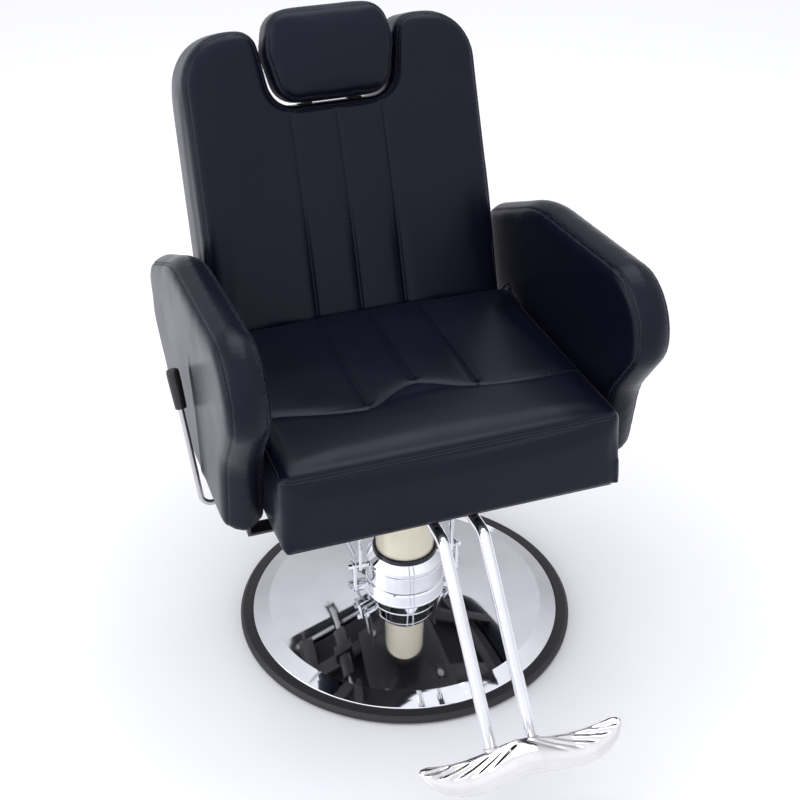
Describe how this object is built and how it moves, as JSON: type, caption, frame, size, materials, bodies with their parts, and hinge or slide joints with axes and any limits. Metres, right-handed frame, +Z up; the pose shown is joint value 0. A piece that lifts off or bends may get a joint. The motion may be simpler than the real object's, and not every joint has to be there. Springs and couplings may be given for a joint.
{
  "type": "hydraulic barber chair",
  "caption": "Swivelling pedestal chair with a round base, hydraulic lift, padded seat and arms, reclining back, sliding headrest and a wing-shaped footplate.",
  "frame": {"origin": "middle of the round base, on the floor", "axes": "+Z up along the lift, the chair faces -Y, +X to the viewer's right seen from the front"},
  "size_m": [0.7342, 1.0741, 1.0014],
  "materials": {
    "black_upholstery": "satin",
    "chrome": "polished",
    "ivory_paint": "gloss",
    "polished_casting": "polished",
    "black_rubber": "matte",
    "black_plastic": "satin",
    "black_paint": "satin",
    "plywood": "matte",
    "steel": "satin",
    "bronze": "satin",
    "grey_iron": "matte"
  },
  "bodies": {
    "base": {"rubber_rim": "black_rubber", "base_casting": "grey_iron", "base_cover": "chrome", "socket_ring": "chrome", "clamp_collar": "chrome", "retaining_ring": "chrome", "pump_cylinder": "ivory_paint", "inner_cylinder": "steel", "pump_head": "steel", "rod_wiper": "black_rubber", "pedal_brackets": "chrome", "pedal_pins": "chrome", "bracket_bolts": "steel", "plunger_housing": "steel"},
    "pedal": {"pedal_yoke": "chrome", "pedal_arm": "chrome", "pedal_pad": "black_rubber"},
    "plunger": {"pump_plunger": "steel"},
    "ram": {"ram_rod": "chrome", "piston": "steel", "thrust_washer": "bronze"},
    "seat": {"swivel_hub": "black_paint", "mount_bolts": "steel", "side_rails": "black_paint", "front_crossmember": "black_paint", "rear_crossmember": "black_paint", "seat_board": "plywood", "seat_cushion": "black_upholstery", "arm_pad_left": "black_upholstery", "arm_pad_right": "black_upholstery", "arm_board_left": "plywood", "arm_board_right": "plywood", "arm_brackets": "black_paint", "hinge_plate_left": "black_paint", "hinge_plate_right": "black_paint", "hinge_bushes": "bronze", "lock_cylinder": "black_paint", "lock_clamp": "black_paint", "lever_bearings": "black_paint", "footrest_clamp": "black_paint", "footrest_tube_left": "chrome", "footrest_tube_right": "chrome", "footplate": "polished_casting", "footplate_bolts": "steel"},
    "back": {"recline_shaft": "black_paint", "back_arm_left": "black_paint", "back_arm_right": "black_paint", "lock_crank": "black_paint", "back_board": "plywood", "back_cushion": "black_upholstery", "back_panel": "black_upholstery", "headrest_sleeves": "black_plastic"},
    "headrest": {"headrest_posts": "chrome", "headrest_board": "plywood", "headrest_pad": "black_upholstery"},
    "lock_rod": {"lock_rod": "steel"},
    "lever": {"lever_rod": "chrome", "lever_grip": "black_plastic"},
    "release_pin": {"release_pin": "steel"}
  },
  "joints": [
    {"name": "pedal_pump", "type": "hinge", "parent": "base", "child": "pedal", "pos_m": [0, 0, 0.121], "axis": [-1, 0, 0], "range_deg": [0, 12], "stiffness_Nm_per_rad": 10, "springref_deg": -28.65},
    {"name": "plunger_stroke", "type": "slide", "parent": "base", "child": "plunger", "axis": [0, 0, -1], "range_m": [0, 0.0182]},
    {"name": "seat_lift", "type": "slide", "parent": "base", "child": "ram", "axis": [0, 0, 1], "range_m": [0, 0.15]},
    {"name": "seat_swivel", "type": "hinge", "parent": "ram", "child": "seat", "pos_m": [0, 0, 0.35], "axis": [0, 0, 1], "continuous": true},
    {"name": "back_recline", "type": "hinge", "parent": "seat", "child": "back", "pos_m": [0, 0.25012, 0.42208], "axis": [-1, 0, 0], "range_deg": [0, 40]},
    {"name": "lock_stroke", "type": "slide", "parent": "seat", "child": "lock_rod", "axis": [0, -1, 0], "range_m": [0, 0.0686]},
    {"name": "headrest_height", "type": "slide", "parent": "back", "child": "headrest", "axis": [0, 0.3535, 0.9354], "range_m": [0, 0.08]},
    {"name": "release_lever", "type": "hinge", "parent": "seat", "child": "lever", "pos_m": [0, -0.022, 0.3421], "axis": [1, 0, 0], "range_deg": [0, 15], "stiffness_Nm_per_rad": 3, "springref_deg": -22.92},
    {"name": "release_pin_stroke", "type": "slide", "parent": "seat", "child": "release_pin", "axis": [0, 1, 0], "range_m": [0, 0.0046]}
  ],
  "couplings": [
    {"joint": "plunger_stroke", "follows": "pedal_pump", "m_per_rad": 0.086},
    {"joint": "lock_stroke", "follows": "back_recline", "m_per_rad": 0.097982},
    {"joint": "release_pin_stroke", "follows": "release_lever", "m_per_rad": 0.017}
  ]
}
